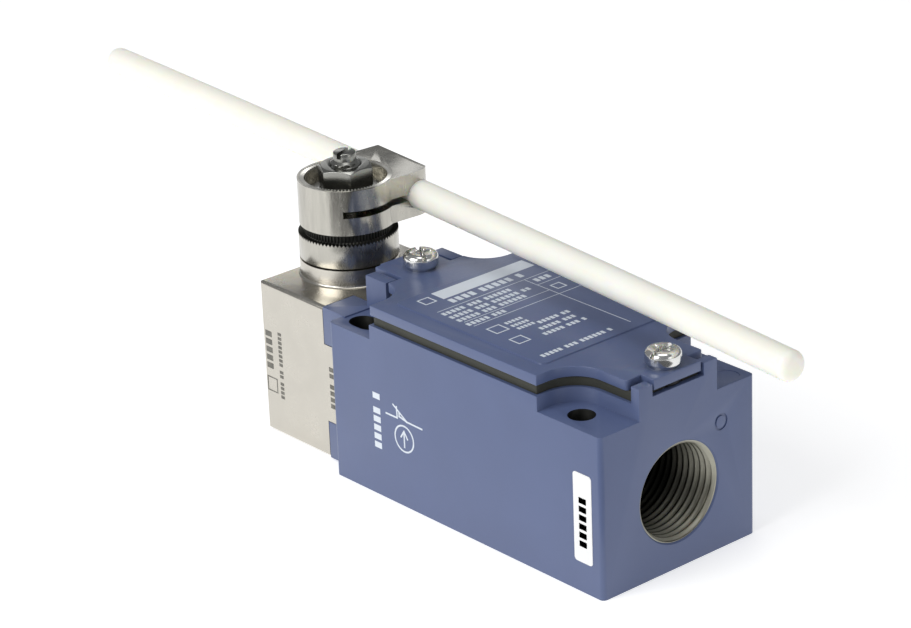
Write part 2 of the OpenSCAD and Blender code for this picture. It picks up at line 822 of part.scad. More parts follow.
housing();
cover();
cover_gasket();
cover_screws();
screw_retainers();
head();
head_gasket();
head_screws();
upper_bushing();
lower_bushing();
shaft_seal();
shaft();
shaft_clip();
cam();
serrated_collar();
lever_hub();
lever_rod();
clamp_washer();
clamp_nut();
plunger();
plunger_spring();
plunger_guide();
contact_base();
contact_lid();
contact_carrier();
moving_contacts();
contact_springs();
carrier_spring();
fixed_contacts_closed();
fixed_contacts_open();
terminal_screws();
terminal_clamps();
block_screws();
earth_screw();
earth_clamp();
side_label();
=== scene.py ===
# Looks of a metal-bodied limit switch with a rotary head and a long plastic rod lever.
# Shapes are built in millimetres and turned into metres when they become pieces.
import json
import math

import bmesh
import bpy
from mathutils import Matrix, Vector


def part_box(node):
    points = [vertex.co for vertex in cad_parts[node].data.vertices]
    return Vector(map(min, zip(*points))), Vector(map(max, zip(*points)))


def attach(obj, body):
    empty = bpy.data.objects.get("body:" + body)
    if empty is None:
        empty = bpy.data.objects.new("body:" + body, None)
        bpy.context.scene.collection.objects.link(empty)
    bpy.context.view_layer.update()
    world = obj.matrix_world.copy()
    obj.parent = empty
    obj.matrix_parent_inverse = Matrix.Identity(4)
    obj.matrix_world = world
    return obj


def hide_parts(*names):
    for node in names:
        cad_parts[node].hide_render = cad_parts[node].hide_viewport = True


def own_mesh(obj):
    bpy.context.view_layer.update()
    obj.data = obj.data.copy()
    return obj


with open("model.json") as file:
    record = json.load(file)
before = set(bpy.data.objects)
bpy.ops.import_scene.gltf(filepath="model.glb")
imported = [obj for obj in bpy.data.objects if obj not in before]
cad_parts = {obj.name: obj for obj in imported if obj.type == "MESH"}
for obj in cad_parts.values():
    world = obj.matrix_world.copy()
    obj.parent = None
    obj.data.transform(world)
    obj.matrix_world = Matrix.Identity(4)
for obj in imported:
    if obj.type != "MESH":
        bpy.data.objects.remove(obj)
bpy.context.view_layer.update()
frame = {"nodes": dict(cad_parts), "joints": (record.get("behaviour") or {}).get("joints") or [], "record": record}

MM = 0.001
TAU = 2 * math.pi

# Points nearer than SEAM millimetres are one point, and faces within FLAT degrees are one face
SEAM = 0.0002
FLAT = 0.3

# ---- places and sizes, in millimetres, from the frame ----


def span(node):
    """Lowest and highest corner of a CAD node, in millimetres"""
    low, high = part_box(node)
    return low / MM, high / MM


LOW, HIGH = 0, 1
joints = {joint["name"]: joint for joint in frame["joints"]}
shaft_y = joints["lever_turn"]["pos_m"][1] / MM
entry = next(mount for mount in frame["record"]["mounts"] if mount["name"] == "cable_entry")
entry_z = entry["pos_m"][2] / MM
body_end = span("housing")[LOW].y
cover_top = span("cover")[HIGH].z
head_x = span("head")[LOW].x
collar_low = span("serrated_collar")[LOW].z
collar_high = span("serrated_collar")[HIGH].z
hub_top = span("lever_hub")[HIGH].z
nut_low = span("clamp_nut")[LOW].z
nut_top = span("clamp_nut")[HIGH].z
stud_top = span("shaft")[HIGH].z

# Body: its left wall, and the cylinder that the thread of the cable entry sits in
SIDE_X = -19.8
BORE_R = 10.0
BORE_DEPTH = 18.6
THREAD_CREST_R = 9.2

# Lever: it stands one serration off the body's length
SERRATIONS = 80
LEVER_TURN = -TAU / SERRATIONS
NUT_TURN = LEVER_TURN + math.radians(6)
COLLAR_R = 10.1
HUB_LOW = 44.2
HUB_RING_R = 9.0
RIM_RING_R = 9.36
CUP_R = 8.4
CUP_Z = 50.0
STUD_R = 3.0
ROD_OFFSET = 12.3
ROD_Z = 48.6

# ---- mesh helpers ----


def turned(angle):
    return Matrix.Rotation(angle, 4, "Z")


def moved(x, y, z):
    return Matrix.Translation((x, y, z))


AT_SHAFT = moved(0, shaft_y, 0)
ALONG_Y = Matrix.Rotation(-math.pi / 2, 4, "X")
LEVER = AT_SHAFT @ turned(LEVER_TURN)


def polar(radius, angle, z):
    return Vector((radius * math.cos(angle), radius * math.sin(angle), z))


def bridge(bm, rings, closed=False):
    """Quads between each ring of vertices and the next"""
    pairs = list(zip(rings, rings[1:]))
    if closed:
        pairs.append((rings[-1], rings[0]))
    for a, b in pairs:
        for i in range(len(a)):
            j = (i + 1) % len(a)
            corners = []
            for vert in (a[i], a[j], b[j], b[i]):
                if vert not in corners:
                    corners.append(vert)
            if len(corners) > 2:
                bm.faces.new(corners)


def ring(bm, points):
    return [bm.verts.new(point) for point in points]


def lathe(profile, steps=96, closed=False):
    """Solid of revolution round Z from (radius, height) points; closed means that it has a hole"""
    bm = bmesh.new()
    rings = []
    for radius, z in profile:
        if radius == 0:
            rings.append([bm.verts.new((0, 0, z))] * steps)
        else:
            rings.append(ring(bm, [polar(radius, TAU * i / steps, z) for i in range(steps)]))
    bridge(bm, rings, closed)
    return bm


def thread_radius(z, angle, pitch, crest, root):
    """Radius of a right-hand V thread, with small flats at its crest and its root"""
    phase = (z / pitch - angle / TAU) % 1
    share = (abs(2 * phase - 1) - 0.1) / 0.75
    return root + (crest - root) * min(1, max(0, share))


def rings_between(bm, low, high, rows, per_turn, radius_at):
    """Rings of vertices round Z between two heights, each vertex at radius_at(z, angle)"""
    rings = []
    for j in range(rows + 1):
        z = low + (high - low) * j / rows
        angles = [TAU * i / per_turn for i in range(per_turn)]
        rings.append(ring(bm, [polar(radius_at(z, angle), angle, z) for angle in angles]))
    return rings


def bridge_capped(bm, rings):
    """Closed surface over the rings, with a flat face at each end"""
    bridge(bm, rings)
    bm.faces.new(rings[0])
    bm.faces.new(rings[-1])
    return bm


def prism(outline, low, high):
    """Solid between two heights over an outline of (x, y) points"""
    bm = bmesh.new()
    return bridge_capped(bm, [ring(bm, [(x, y, z) for x, y in outline]) for z in (low, high)])


def tapered_bar(length, width, z_low, z_high, taper=1.0):
    """Bar along X whose foot is taper times as long and as wide as its top"""
    bm = bmesh.new()
    loops = []
    for z, share in ((z_low, taper), (z_high, 1.0)):
        x, y = length / 2 * share, width / 2 * share
        loops.append(ring(bm, [(-x, -y, z), (x, -y, z), (x, y, z), (-x, y, z)]))
    return bridge_capped(bm, loops)


def place(bm, matrix):
    bmesh.ops.transform(bm, matrix=matrix, verts=bm.verts)
    return bm


def joined(parts):
    """One bmesh that holds all the parts"""
    whole = bmesh.new()
    for part in parts:
        mesh = bpy.data.meshes.new("part")
        bmesh.ops.recalc_face_normals(part, faces=part.faces)
        part.to_mesh(mesh)
        part.free()
        whole.from_mesh(mesh)
        bpy.data.meshes.remove(mesh)
    return whole


def carved(bm, cutter, operation="DIFFERENCE"):
    """The first shape less the second, or what both share"""
    pair = []
    for part in (bm, cutter):
        bmesh.ops.recalc_face_normals(part, faces=part.faces)
        mesh = bpy.data.meshes.new("part")
        part.to_mesh(mesh)
        part.free()
        obj = bpy.data.objects.new("part", mesh)
        bpy.context.scene.collection.objects.link(obj)
        pair.append(obj)
    boolean = pair[0].modifiers.new("carve", "BOOLEAN")
    boolean.object = pair[1]
    boolean.operation = operation
    boolean.solver = "EXACT"
    result = bmesh.new()
    result.from_object(pair[0], bpy.context.evaluated_depsgraph_get())
    for obj in pair:
        mesh = obj.data
        bpy.data.objects.remove(obj)
        bpy.data.meshes.remove(mesh)
    return result


def cad_shape(node):
    """Copy of a CAD node's mesh with its seams welded"""
    bm = bmesh.new()
    bm.from_mesh(frame["nodes"][node].data)
    place(bm, Matrix.Scale(1 / MM, 4))
    bmesh.ops.remove_doubles(bm, verts=bm.verts, dist=SEAM)
    return bm


def round_edges(bm, width, angle=35, where=None, segments=3):
    """Rounds the edges that are sharper than angle, and that where() picks"""
    bmesh.ops.remove_doubles(bm, verts=bm.verts, dist=2.5 * SEAM)
    bmesh.ops.dissolve_limit(bm, angle_limit=math.radians(FLAT), verts=bm.verts, edges=bm.edges)
    sharp = []
    for edge in bm.edges:
        if len(edge.link_faces) == 2 and edge.calc_face_angle() > math.radians(angle):
            if where is None or where(edge):
                sharp.append(edge)
    bmesh.ops.bevel(bm, geom=sharp, offset=width, offset_type="OFFSET", segments=segments,
                    profile=0.5, affect="EDGES", clamp_overlap=True)
    return bm


def piece(name, bm, look, body, stands_for=(), sharp=35):
    """Turns a shape in millimetres into a piece of the object"""
    bmesh.ops.recalc_face_normals(bm, faces=bm.faces)
    place(bm, Matrix.Scale(MM, 4))
    mesh = bpy.data.meshes.new(name)
    bm.to_mesh(mesh)
    bm.free()
    for attribute in ("custom_normal", "sharp_face", "sharp_edge"):
        if attribute in mesh.attributes:
            mesh.attributes.remove(mesh.attributes[attribute])
    mesh.shade_smooth()
    mesh.set_sharp_from_angle(angle=math.radians(sharp))
    mesh.materials.clear()
    mesh.materials.append(look)
    obj = bpy.data.objects.new(name, mesh)
    bpy.context.scene.collection.objects.link(obj)
    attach(obj, body)
    if stands_for:
        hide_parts(*stands_for)
    return obj


# ---- materials ----


class Tree:
    """Short way to add nodes to a material and to link them"""

    def __init__(self, name):
        self.material = bpy.data.materials.new(name)
        self.material.use_nodes = True
        self.nodes = self.material.node_tree.nodes
        self.links = self.material.node_tree.links
        self.shader = self.nodes["Principled BSDF"]

    def add(self, kind, values=None, links=None, **settings):
        node = self.nodes.new(kind)
        for key, value in settings.items():
            setattr(node, key, value)
        for key, value in (values or {}).items():
            node.inputs[key].default_value = value
        for key, source in (links or {}).items():
            self.links.new(source, node.inputs[key])
        return node

    def noise(self, size_mm, stretch=(1, 1, 1), detail=3.0, roughness=0.5):
        """Noise whose features are about size_mm, stretched along the axes"""
        where = self.add("ShaderNodeTexCoord")
        scale = tuple(1 / (MM * size_mm * factor) for factor in stretch)
        mapping = self.add("ShaderNodeMapping", {"Scale": scale}, {"Vector": where.outputs["Object"]})
        values = {"Scale": 1.0, "Detail": detail, "Roughness": roughness}
        return self.add("ShaderNodeTexNoise", values, {"Vector": mapping.outputs[0]}).outputs[0]

    def span(self, source, low, high, start=0.3, end=0.7):
        """Source from start to end, spread over low to high"""
        values = {"From Min": start, "From Max": end, "To Min": low, "To Max": high}
        return self.add("ShaderNodeMapRange", values, {"Value": source}).outputs[0]

    def mix(self, factor, a, b):
        node = self.add("ShaderNodeMix", data_type="RGBA")
        self.links.new(factor, node.inputs[0])
        for socket, value in ((node.inputs[6], a), (node.inputs[7], b)):
            if isinstance(value, tuple):
                socket.default_value = (*value, 1)
            else:
                self.links.new(value, socket)
        return node.outputs[2]

    def link(self, source, name):
        self.links.new(source, self.shader.inputs[name])


def surface(name, colour, roughness, metallic=0.0, variation=0.06, patch=9.0, wander=0.06,
            grain=0.5, height=0.004, stretch=(1, 1, 1), streak=(1, 1, 1), constants=None):
    """Principled surface with patchy colour and roughness and a fine grain, sizes in millimetres"""
    tree = Tree(name)
    patches = tree.noise(patch, streak, detail=4.0)
    share = tree.span(patches, 0.0, 1.0)
    dark = tuple(channel * (1 - variation) for channel in colour)
    light = tuple(min(1.0, channel * (1 + variation)) for channel in colour)
    tree.link(tree.mix(share, dark, light), "Base Color")
    fine = tree.noise(grain, stretch, detail=3.0, roughness=0.6)
    rough = tree.add("ShaderNodeMath", {1: 0.5}, {0: patches}, operation="MULTIPLY")
    both = tree.add("ShaderNodeMath", {1: 0.5, 2: 0.0}, {0: fine, 2: rough.outputs[0]},
                    operation="MULTIPLY_ADD")
    tree.link(tree.span(both.outputs[0], roughness - wander, roughness + wander), "Roughness")
    bump = tree.add("ShaderNodeBump", {"Strength": 1.0, "Distance": height * MM}, {"Height": fine})
    tree.link(bump.outputs[0], "Normal")
    tree.shader.inputs["Metallic"].default_value = metallic
    for key, value in (constants or {}).items():
        tree.shader.inputs[key].default_value = value
    return tree.material


PAINT = surface("blue_paint", (0.088, 0.118, 0.232), 0.33, variation=0.04, patch=14, wander=0.05,
                grain=0.7, height=0.004)
GASKET = surface("olive_rubber", (0.035, 0.036, 0.026), 0.62, variation=0.15, grain=0.25, height=0.006)
RUBBER = surface("black_rubber", (0.018, 0.018, 0.018), 0.6, variation=0.15, grain=0.25, height=0.006)
NICKEL = surface("satin_nickel", (0.555, 0.53, 0.475), 0.25, 1.0, variation=0.03, patch=5, wander=0.05,
                 grain=0.22, height=0.003)
# Cast zinc of the hub and the collar: its colour varies in vertical streaks, partly as marks in the metal and
# partly as painted reflection
ZINC = surface("cast_zinc", (0.47, 0.455, 0.41), 0.24, 1.0, variation=0.12, patch=1.6, wander=0.07,
               grain=0.3, height=0.003, stretch=(1, 1, 5), streak=(1, 1, 7))
# Painted shade: a near-black metal put on faces where shade falls, in holes, in gaps and between serrations
PAINTED_SHADE_ZINC = surface("painted_shade_zinc", (0.06, 0.06, 0.055), 0.5, 1.0, variation=0.2, patch=2)
WORN_ZINC = surface("worn_zinc", (0.60, 0.59, 0.55), 0.44, 1.0, variation=0.1, patch=2, wander=0.06,
                    grain=0.3)
PLATED = surface("plated_steel", (0.72, 0.72, 0.70), 0.17, 1.0, variation=0.04, patch=3, wander=0.04,
                 grain=0.4, height=0.002)
STEEL = surface("dark_steel", (0.28, 0.28, 0.26), 0.25, 1.0, variation=0.06, patch=5, wander=0.03,
                grain=0.3, height=0.001)
SPRING = surface("spring_steel", (0.45, 0.45, 0.44), 0.28, 1.0, grain=0.2, height=0.002)
BRONZE = surface("bronze", (0.50, 0.36, 0.20), 0.45, 1.0, variation=0.12, patch=2, grain=0.15, height=0.008)
BRASS = surface("contact_brass", (0.70, 0.52, 0.24), 0.26, 1.0, variation=0.08, patch=4)
COPPER = surface("copper_alloy", (0.72, 0.42, 0.26), 0.28, 1.0, variation=0.08, patch=3)
POLYAMIDE = surface("natural_polyamide", (0.985, 0.925, 0.835), 0.38, variation=0.025, patch=16, wander=0.05,
                    grain=0.9, height=0.006, stretch=(1, 8, 1),
                    constants={"Subsurface Weight": 0.7, "Subsurface Radius": (1.0, 0.75, 0.5),
                               "Subsurface Scale": 0.004})
ACETAL = surface("white_plastic", (0.78, 0.77, 0.73), 0.4, variation=0.03)
THERMOSET = surface("black_plastic", (0.03, 0.03, 0.032), 0.45, variation=0.15, grain=0.35, height=0.006)
GREY_PLASTIC = surface("grey_plastic", (0.35, 0.35, 0.33), 0.45, variation=0.05, grain=0.35, height=0.006)
RED_PLASTIC = surface("red_plastic", (0.45, 0.06, 0.04), 0.42, variation=0.06)
LABEL = surface("white_label", (0.84, 0.84, 0.83), 0.4, variation=0.02, grain=0.3, height=0.002)
INK = surface("white_ink", (0.66, 0.71, 0.77), 0.5, variation=0.05, grain=0.2, height=0.003)
DARK_INK = surface("dark_ink", (0.03, 0.03, 0.03), 0.55, variation=0.2, patch=2)
ETCH = surface("etched_mark", (0.17, 0.165, 0.145), 0.5, 0.6, variation=0.3, patch=1.0)

# ---- body and cover ----


def bare_zinc_painted_shade():
    """Bare metal of the cable entry, with painted shade that gets darker with its depth"""
    tree = Tree("bare_zinc_painted_shade")
    where = tree.add("ShaderNodeTexCoord")
    split = tree.add("ShaderNodeSeparateXYZ", links={0: where.outputs["Object"]})
    mouth = body_end * MM
    depth = tree.span(split.outputs["Y"], 0.0, 1.0, mouth + 0.001, mouth + 0.012)
    tint = tree.mix(tree.noise(2.5), (0.33, 0.32, 0.26), (0.44, 0.43, 0.36))
    # Painted shade: deeper in the bore the colour goes to near black
    tree.link(tree.mix(depth, tint, (0.012, 0.012, 0.010)), "Base Color")
    tree.link(tree.span(tree.noise(0.4), 0.36, 0.48), "Roughness")
    tree.shader.inputs["Metallic"].default_value = 1.0
    return tree.material


def paint_shade_on(obj, picks):
    """Gives the faces that picks() chooses, from their centre in millimetres and normal, painted shade: a
    near-black metal in place of the shade there
    """
    obj.data.materials.append(PAINTED_SHADE_ZINC)
    for face in obj.data.polygons:
        if picks(face.center / MM, face.normal):
            face.material_index = 1


def in_fixing_hole(centre, normal):
    """Walls of the four fixing holes, which get painted shade in place of the blue paint"""
    hole_x, hole_y, reach_x, reach_y = 15, 31.2, 2.8, 4.2
    wall = abs(normal.z) < 0.3 and centre.z > 1
    return wall and abs(abs(centre.x) - hole_x) < reach_x and abs(abs(centre.y) - hole_y) < reach_y


def housing_casting():
    """Painted body, opened wider where the bare thread of the cable entry sits"""
    profile = [(0, -1), (BORE_R, -1), (BORE_R, BORE_DEPTH), (0, BORE_DEPTH)]
    bore = place(lathe(profile), ALONG_Y)
    shape = carved(cad_shape("housing"), place(bore, moved(0, body_end, entry_z)))
    # Moulding marks: a sunk disc on the right shelf of the cable end, and a ring on the end face
    disc_at = (15.6, -36.6, 32.9)
    ring_at = (10.9, body_end, 26.1)
    disc = lathe([(0, -0.15), (2.6, -0.15), (2.75, 0.2), (0, 0.2)], 64)
    shape = carved(shape, place(disc, moved(*disc_at)))
    mark = place(lathe([(1.2, -0.2), (1.7, -0.2), (1.7, 0.25), (1.2, 0.25)], 64, True), ALONG_Y)
    shape = carved(shape, place(mark, moved(*ring_at)))
    round_edges(shape, 0.3)
    obj = piece("housing_casting", shape, PAINT, "body", ["housing"])
    # Painted shade: the walls of the fixing holes are near-black metal
    paint_shade_on(obj, in_fixing_hole)
    return obj


def entry_thread():
    """Bare thread of the cable entry, M20 x 1.5"""
    pitch, crest, root, outer = 1.5, THREAD_CREST_R, 9.88, BORE_R + 0.02
    front, back, chamfer = body_end + 0.35, body_end + BORE_DEPTH - 0.1, 0.5
    per_turn, rows = 96, int((back - front) / pitch * 12)

    def inner_radius(z, angle):
        mouth = max(0.0, 1 - (z - front) / chamfer)
        return max(thread_radius(z, angle, pitch, crest, root), crest + (root - crest) * mouth)

    bm = bmesh.new()
    rings = rings_between(bm, front, back, rows, per_turn, inner_radius)
    rings += rings_between(bm, back, front, 1, per_turn, lambda z, angle: outer)
    bridge(bm, rings, closed=True)
    place(bm, ALONG_Y)
    place(bm, moved(0, 0, entry_z))
    return piece("entry_thread", bm, bare_zinc_painted_shade(), "body", sharp=60)


def cover_plate():
    """Cover, with the two corners of its lobe at the cable end rounder than its other edges"""
    shape = cad_shape("cover")
    lobe_x, lobe_y = 9.5, -36

    def lobe(edge):
        return all(abs(vert.co.x) > lobe_x and vert.co.y < lobe_y for vert in edge.verts)

    round_edges(shape, 0.8, angle=50, where=lobe, segments=5)
    round_edges(shape, 0.28)
    return piece("cover_plate", shape, PAINT, "body", ["cover"])


def soft_gasket():
    shape = round_edges(cad_shape("cover_gasket"), 0.3)
    return piece("rubber_gasket", shape, GASKET, "body", ["cover_gasket"])


# ---- screws ----


def screw_head_profile(head_r, head_h, neck):
    """Half section of a pan head, which stands on a neck where neck gives its radius and height"""
    rounding = head_h * 0.42
    corner = []
    for step in range(9):
        angle = TAU / 4 * step / 8
        corner.append((head_r - rounding * (1 - math.cos(angle)), head_h - rounding * (1 - math.sin(angle))))
    flat_r = corner[-1][0]
    profile = [(0, 0), (head_r - 0.25, 0), (head_r - 0.07, 0.08), (head_r, 0.28)]
    profile += corner + [(flat_r * 0.6, head_h), (0, head_h)]
    if neck:
        neck_r, neck_h = neck
        profile = [(0, -neck_h), (neck_r, -neck_h), (neck_r, 0)] + profile[1:]
    return profile


def cross_screw(shank_r, head_r, head_h, length, slotted, turn=0.0, neck=None):
    """Pan-head screw with a cross recess and a threaded shank, its head from z = 0 up"""
    depth, over = head_h * 0.7, head_h + 0.5
    wing_w, eighth = head_r * 0.27, TAU / 8
    head = lathe(screw_head_profile(head_r, head_h, neck), 96)
    for quarter in (0, TAU / 4):
        wing = tapered_bar(head_r * 1.3, wing_w, head_h - depth, over, 0.6)
        head = carved(head, place(wing, turned(turn + quarter)))
        rib = tapered_bar(head_r * 0.85, head_r * 0.1, head_h - depth * 0.6, over, 0.5)
        head = carved(head, place(rib, turned(turn + eighth + quarter)))
    core = tapered_bar(head_r * 0.5, head_r * 0.5, head_h - depth * 0.9, over, 0.5)
    head = carved(head, place(core, turned(turn + eighth)))
    if slotted:
        slot = tapered_bar(head_r * 2.4, wing_w, head_h * 0.6, over, 0.96)
        head = carved(head, place(slot, turned(turn)))
    round_edges(head, 0.06, segments=2)
    pitch, per_turn = shank_r * 0.35, 40

    def shank_radius(z, angle):
        tip = min(1.0, 0.75 + (z + length) / shank_r * 0.5)
        return thread_radius(z, angle, pitch, shank_r, shank_r * 0.84) * tip

    shank = bmesh.new()
    rows = max(4, int(length / pitch * 8))
    bridge_capped(shank, rings_between(shank, -length, 0.01, rows, per_turn, shank_radius))
    return joined([head, shank])


def screw_spots(low, high, head_r):
    """Centres of the screw heads along one side of a node's box: one at each end, or one in the middle"""
    if high - low > 2.5 * head_r:
        return [low + head_r, high - head_r]
    return [(low + high) / 2]


def screw_set(node, body, look, shank_r, head_r, head_h, along_y=False, slotted=False,
              turns=(0.4,), neck=None):
    """The screws of one node, at the corners of the node's box"""
    low, high = span(node)
    xs = screw_spots(low.x, high.x, head_r)
    if along_y:
        spots = [(x, high.y - head_h, z) for x in xs for z in screw_spots(low.z, high.z, head_r)]
        length = high.y - head_h - low.y
    else:
        spots = [(x, y, high.z - head_h) for x in xs for y in screw_spots(low.y, high.y, head_r)]
        length = high.z - head_h - low.z
    parts = []
    for k, spot in enumerate(spots):
        screw = cross_screw(shank_r, head_r, head_h, length, slotted, turns[k % len(turns)], neck)
        if along_y:
            place(screw, ALONG_Y)
        parts.append(place(screw, moved(*spot)))
    return piece(node + "_cut", joined(parts), look, body, [node])


# ---- head, collar and clamp hub ----


def head_casting():
    shape = round_edges(cad_shape("head"), 0.18)
    return piece("head_casting", shape, NICKEL, "body", ["head"])


def collar():
    """Collar on the shaft, with radial serrations round its upper face"""
    depth, inner, bore = 0.55, 8.9, 4.1
    floor_z = collar_high - 0.05
    # Half section, as (radius, height, depth of the serrations there)
    section = [(bore, collar_low, 0), (COLLAR_R - 0.2, collar_low, 0),
               (COLLAR_R - 0.06, collar_low + 0.06, 0), (COLLAR_R, collar_low + 0.2, 0),
               (COLLAR_R, collar_high - 1.2, 0),
               (COLLAR_R, collar_high, depth), (inner, collar_high, depth),
               (inner - 0.15, floor_z, 0), (bore, floor_z, 0)]
    steps = 2 * SERRATIONS
    bm = bmesh.new()
    rings = []
    for radius, z, dip in section:
        rings.append(ring(bm, [polar(radius, TAU * i / steps, z - i % 2 * dip) for i in range(steps)]))
    bridge(bm, rings, closed=True)
    place(bm, LEVER)
    obj = piece("collar_teeth", bm, ZINC, "lever", ["serrated_collar"], sharp=30)
    # Painted shade: the upward faces of the serrations and the inner floor of the collar are near-black metal
    paint_shade_on(obj, lambda centre, normal: centre.z > collar_high - depth - 0.02 and normal.z > 0.2)
    return obj


def grooved_ring(inner, outer, low, high, groove=0.0, depth=0.0):
    """Ring with square grooves down its outer wall and square serrations on its top"""
    steps = 4 * SERRATIONS
    bm = bmesh.new()
    rings = []
    for radius, z, cut, dip in ((inner, low, 0, 0), (outer, low, groove, 0),
                                (outer, high, groove, depth), (inner, high, 0, depth)):
        points = []
        for i in range(steps):
            valley = i // 2 % 2
            points.append(polar(radius - cut * valley, TAU * i / steps, z - dip * valley))
        rings.append(ring(bm, points))
    bridge(bm, rings, closed=True)
    return place(bm, LEVER)


def clamp_hub():
    """Clamp hub with rounded edges, and the serrated rings on its two faces"""

    def ring_cutter(inner, outer, low, high):
        return place(lathe([(inner, low), (outer, low), (outer, high), (inner, high)], 96, True), LEVER)

    shape = carved(cad_shape("lever_hub"), ring_cutter(2, 15, HUB_LOW - 4, HUB_LOW))
    shape = carved(shape, ring_cutter(CUP_R - 1, RIM_RING_R - 0.01, hub_top - 0.6, hub_top + 1))

    def outline(edge):
        return all(vert.co.z > hub_top - 0.05 or vert.co.z < HUB_LOW + 0.05 for vert in edge.verts)

    round_edges(shape, 0.35, where=outline)
    round_edges(shape, 0.12)
    piece("clamp_hub", shape, ZINC, "lever", ["lever_hub"])
    top_ring = grooved_ring(CUP_R, RIM_RING_R, hub_top - 0.7, hub_top, depth=0.3)
    rim = piece("hub_top_teeth", top_ring, WORN_ZINC, "lever", sharp=20)
    # Painted shade: the floors of the valleys between the rim's serrations are near-black metal
    paint_shade_on(rim, lambda centre, normal: normal.z > 0.3 and centre.z < hub_top - 0.2)
    low_ring = grooved_ring(STUD_R + 0.2, HUB_RING_R, collar_high, HUB_LOW + 0.05, groove=0.35)
    # Painted shade: the serrated ring in the gap between the collar and the hub is near-black metal all over
    piece("hub_low_teeth", low_ring, PAINTED_SHADE_ZINC, "lever", sharp=20)


def hexagon(across_flats):
    radius = across_flats / 2 / math.cos(TAU / 12)
    return [(radius * math.cos(TAU * k / 6), radius * math.sin(TAU * k / 6)) for k in range(6)]


def hex_nut():
    """Hexagon nut, chamfered on both faces"""
    across, face_r, corner_r = 10.0, 4.85, 6.0
    bore_r, mouth_r, chamfer = 3.0, 3.4, 0.4
    rise = (corner_r - face_r) * math.tan(math.radians(30))
    body = prism(hexagon(across), nut_low, nut_top)
    envelope = lathe([(0, nut_low), (face_r, nut_low), (corner_r, nut_low + rise),
                      (corner_r, nut_top - rise), (face_r, nut_top), (0, nut_top)], 144)
    body = carved(body, envelope, "INTERSECT")
    bore = lathe([(0, nut_low - 1), (mouth_r, nut_low - 1), (mouth_r, nut_low),
                  (bore_r, nut_low + chamfer), (bore_r, nut_top - chamfer),
                  (mouth_r, nut_top), (mouth_r, nut_top + 1), (0, nut_top + 1)], 72)
    body = carved(body, bore)
    round_edges(body, 0.08, angle=20)
    place(body, AT_SHAFT @ turned(NUT_TURN))
    return piece("hex_nut", body, STEEL, "lever", ["clamp_nut"], sharp=25)


def shaft_with_stud():
    """The shaft, with the thread of its stud and a slotted tip"""
    waist = CUP_Z + 0.2
    shape = cad_shape("shaft")
    above = lathe([(0, waist), (8, waist), (8, stud_top + 5), (0, stud_top + 5)], 48)
    shape = carved(shape, place(above, AT_SHAFT))
    round_edges(shape, 0.12)
    piece("shaft_body", shape, STEEL, "lever", ["shaft"])
    pitch, per_turn, thread_end, root_r, tip_r = 1.0, 72, 57.0, 2.45, 2.3
    rows = int((thread_end - waist) / pitch * 12)

    def stud_radius(z, angle):
        return min(tip_r + (thread_end - z) * 1.2, thread_radius(z, angle, pitch, STUD_R, root_r))

    bm = bmesh.new()
    rings = rings_between(bm, waist - 0.05, thread_end, rows, per_turn, stud_radius)
    dome = [(tip_r, thread_end + 0.05), (tip_r, stud_top - 0.3), (tip_r - 0.1, stud_top - 0.12),
            (tip_r - 0.35, stud_top)]
    for radius, z in dome:
        rings.append(ring(bm, [polar(radius, TAU * i / per_turn, z) for i in range(per_turn)]))
    bridge_capped(bm, rings)
    slot_w, slot_depth, slot_turn = 0.95, 1.1, math.radians(20)
    slot = tapered_bar(8, slot_w, stud_top - slot_depth, stud_top + 1)
    bm = carved(bm, place(slot, turned(slot_turn)))
    place(bm, AT_SHAFT)
    return piece("stud_thread", bm, STEEL, "lever", sharp=40)


def flat_washer():
    low, high = span("clamp_washer")
    outer, inner, edge = (high.x - low.x) / 2, 3.15, 0.15
    profile = [(inner, low.z), (outer - edge, low.z), (outer, low.z + edge), (outer, high.z - edge),
               (outer - edge, high.z), (inner + edge, high.z), (inner, high.z - edge)]
    shape = place(lathe(profile, 96, True), AT_SHAFT)
    return piece("flat_washer", shape, PLATED, "lever", ["clamp_washer"])


def rod():
    """Plastic rod with rounded ends, bowed a little under its own weight"""
    low_end, high_end, radius, rounding = -119.8, 108.6, 3.0, 1.4
    droop, droop_at = 0.8, 115
    steps, along, curve = 64, 72, 8
    cap = []
    for k in range(curve + 1):
        angle = TAU / 4 * (1 - k / curve)
        cap.append((low_end + rounding * (1 - math.sin(angle)), radius - rounding * (1 - math.cos(angle))))
    straight = high_end - low_end - 2 * rounding
    middle = [(low_end + rounding + straight * k / along, radius) for k in range(1, along)]
    far_cap = [(low_end + high_end - y, r) for y, r in reversed(cap)]
    bm = bmesh.new()
    rings = []
    for y, r in cap + middle + far_cap:
        z = ROD_Z - droop * (y / droop_at) ** 2
        angles = [TAU * i / steps for i in range(steps)]
        rings.append(ring(bm, [(ROD_OFFSET + r * math.cos(a), y, z + r * math.sin(a)) for a in angles]))
    shape = place(bridge_capped(bm, rings), LEVER)
    return piece("polyamide_rod", shape, POLYAMIDE, "lever", ["lever_rod"], sharp=50)


# ---- springs ----


def coil(radius, wire, length, turns, matrix, per_turn=36, sides=12):
    """Compression spring along Z with closed ends, from z = 0"""
    closed = 0.9
    pitch = (length - wire - 2 * closed * wire) / (turns - 2 * closed)
    bm = bmesh.new()
    rings = []
    for k in range(int(turns * per_turn) + 1):
        t = k / per_turn
        z = wire / 2 + wire * min(t, closed)
        z += pitch * min(max(t - closed, 0), turns - 2 * closed) + wire * max(0, t - turns + closed)
        out = polar(1, TAU * t, 0)
        centre = out * radius + Vector((0, 0, z))
        points = []
        for i in range(sides):
            a = TAU * i / sides
            points.append(centre + out * (wire / 2 * math.cos(a)) + Vector((0, 0, wire / 2 * math.sin(a))))
        rings.append(ring(bm, points))
    return place(bridge_capped(bm, rings), matrix)


